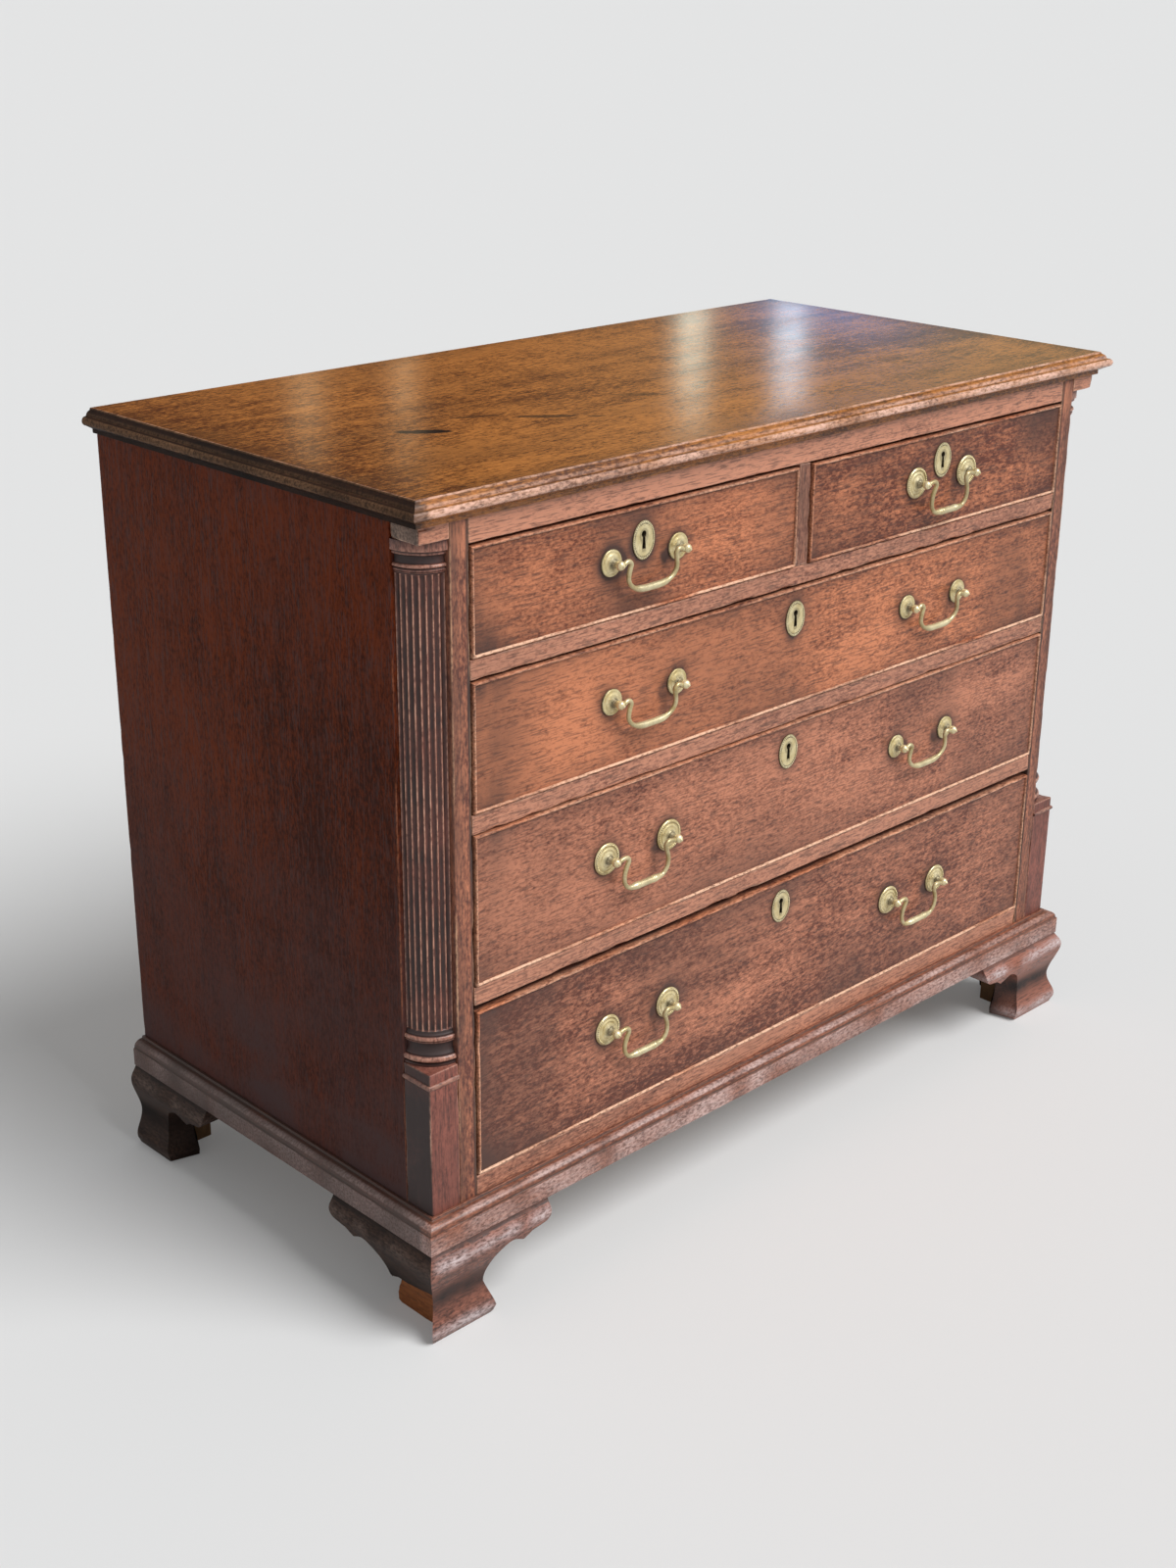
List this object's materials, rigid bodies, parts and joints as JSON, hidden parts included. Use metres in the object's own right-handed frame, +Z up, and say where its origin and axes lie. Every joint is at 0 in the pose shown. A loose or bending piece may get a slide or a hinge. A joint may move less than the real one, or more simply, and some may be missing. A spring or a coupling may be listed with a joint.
{
  "type": "chest of drawers",
  "caption": "Mahogany chest of short drawers over long drawers, with fluted corner columns, brass swan-neck bails and ogee bracket feet.",
  "frame": {"origin": "on the floor under the middle of the bounding box, drawers shut and bails hanging", "axes": "+X to the viewer's right when facing the drawers, the drawers face -Y, +Z up"},
  "size_m": [1.085, 0.5346, 0.862],
  "materials": {
    "mahogany_top": "polished, golden brown, worn and ink-marked",
    "mahogany_front": "polished red-brown with dark grime at the edges",
    "mahogany_case": "dark red-brown with worn edges",
    "mahogany_column": "nearly black brown, fluted",
    "pine": "bare oxidised softwood",
    "brass": "pale lacquer-worn brass with dark tarnish in the hollows"
  },
  "bodies": {
    "case": {"top_board": "mahogany_top", "side_panel_left": "mahogany_case", "side_panel_right": "mahogany_case", "back_panel": "pine", "case_bottom": "mahogany_front", "frieze_rail": "mahogany_front", "centre_muntin": "mahogany_front", "dust_board_upper": "mahogany_front", "dust_board_middle": "mahogany_front", "dust_board_lower": "mahogany_front", "corner_post_left": "mahogany_case", "corner_post_right": "mahogany_case", "quarter_column_left": "mahogany_column", "quarter_column_right": "mahogany_column", "plinth_block_left": "mahogany_case", "plinth_block_right": "mahogany_case", "base_moulding": "mahogany_case", "front_foot_left": "mahogany_case", "front_foot_right": "mahogany_case", "rear_foot_left": "mahogany_case", "rear_foot_right": "mahogany_case"},
    "drawer_short_left": {"drawer_front_short_left": "mahogany_front", "drawer_box_short_left": "pine", "drawer_lock_short_left": "brass", "handle_post_short_left_1": "brass", "handle_post_short_left_2": "brass"},
    "bail_short_left": {"bail_short_left": "brass"},
    "drawer_short_right": {"drawer_front_short_right": "mahogany_front", "drawer_box_short_right": "pine", "drawer_lock_short_right": "brass", "handle_post_short_right_1": "brass", "handle_post_short_right_2": "brass"},
    "bail_short_right": {"bail_short_right": "brass"},
    "drawer_long_upper": {"drawer_front_long_upper": "mahogany_front", "drawer_box_long_upper": "pine", "drawer_lock_long_upper": "brass", "handle_post_long_upper_1": "brass", "handle_post_long_upper_2": "brass", "handle_post_long_upper_3": "brass", "handle_post_long_upper_4": "brass"},
    "bail_long_upper_left": {"bail_long_upper_left": "brass"},
    "bail_long_upper_right": {"bail_long_upper_right": "brass"},
    "drawer_long_middle": {"drawer_front_long_middle": "mahogany_front", "drawer_box_long_middle": "pine", "drawer_lock_long_middle": "brass", "handle_post_long_middle_1": "brass", "handle_post_long_middle_2": "brass", "handle_post_long_middle_3": "brass", "handle_post_long_middle_4": "brass"},
    "bail_long_middle_left": {"bail_long_middle_left": "brass"},
    "bail_long_middle_right": {"bail_long_middle_right": "brass"},
    "drawer_long_lower": {"drawer_front_long_lower": "mahogany_front", "drawer_box_long_lower": "pine", "drawer_lock_long_lower": "brass", "handle_post_long_lower_1": "brass", "handle_post_long_lower_2": "brass", "handle_post_long_lower_3": "brass", "handle_post_long_lower_4": "brass"},
    "bail_long_lower_left": {"bail_long_lower_left": "brass"},
    "bail_long_lower_right": {"bail_long_lower_right": "brass"}
  },
  "joints": [
    {"name": "slide_short_left", "type": "slide", "parent": "case", "child": "drawer_short_left", "axis": [0, -1, 0], "range_m": [0, 0.38]},
    {"name": "swing_short_left", "type": "hinge", "parent": "drawer_short_left", "child": "bail_short_left", "pos_m": [-0.2362, -0.25775, 0.75875], "axis": [-1, 0, 0], "range_deg": [-12, 150]},
    {"name": "slide_short_right", "type": "slide", "parent": "case", "child": "drawer_short_right", "axis": [0, -1, 0], "range_m": [0, 0.38]},
    {"name": "swing_short_right", "type": "hinge", "parent": "drawer_short_right", "child": "bail_short_right", "pos_m": [0.2342, -0.25955, 0.75875], "axis": [-1, 0, 0], "range_deg": [-12, 150]},
    {"name": "slide_long_upper", "type": "slide", "parent": "case", "child": "drawer_long_upper", "axis": [0, -1, 0], "range_m": [0, 0.38]},
    {"name": "swing_long_upper_left", "type": "hinge", "parent": "drawer_long_upper", "child": "bail_long_upper_left", "pos_m": [-0.2332, -0.25775, 0.6175], "axis": [-1, 0, 0], "range_deg": [-12, 150]},
    {"name": "swing_long_upper_right", "type": "hinge", "parent": "drawer_long_upper", "child": "bail_long_upper_right", "pos_m": [0.2328, -0.25775, 0.6175], "axis": [-1, 0, 0], "range_deg": [-12, 150]},
    {"name": "slide_long_middle", "type": "slide", "parent": "case", "child": "drawer_long_middle", "axis": [0, -1, 0], "range_m": [0, 0.38]},
    {"name": "swing_long_middle_left", "type": "hinge", "parent": "drawer_long_middle", "child": "bail_long_middle_left", "pos_m": [-0.2387, -0.25955, 0.45115], "axis": [-1, 0, 0], "range_deg": [-12, 150]},
    {"name": "swing_long_middle_right", "type": "hinge", "parent": "drawer_long_middle", "child": "bail_long_middle_right", "pos_m": [0.2292, -0.25775, 0.45115], "axis": [-1, 0, 0], "range_deg": [-12, 150]},
    {"name": "slide_long_lower", "type": "slide", "parent": "case", "child": "drawer_long_lower", "axis": [0, -1, 0], "range_m": [0, 0.38]},
    {"name": "swing_long_lower_left", "type": "hinge", "parent": "drawer_long_lower", "child": "bail_long_lower_left", "pos_m": [-0.2343, -0.25955, 0.25515], "axis": [-1, 0, 0], "range_deg": [-12, 150]},
    {"name": "swing_long_lower_right", "type": "hinge", "parent": "drawer_long_lower", "child": "bail_long_lower_right", "pos_m": [0.2325, -0.25955, 0.25515], "axis": [-1, 0, 0], "range_deg": [-12, 150]}
  ]
}
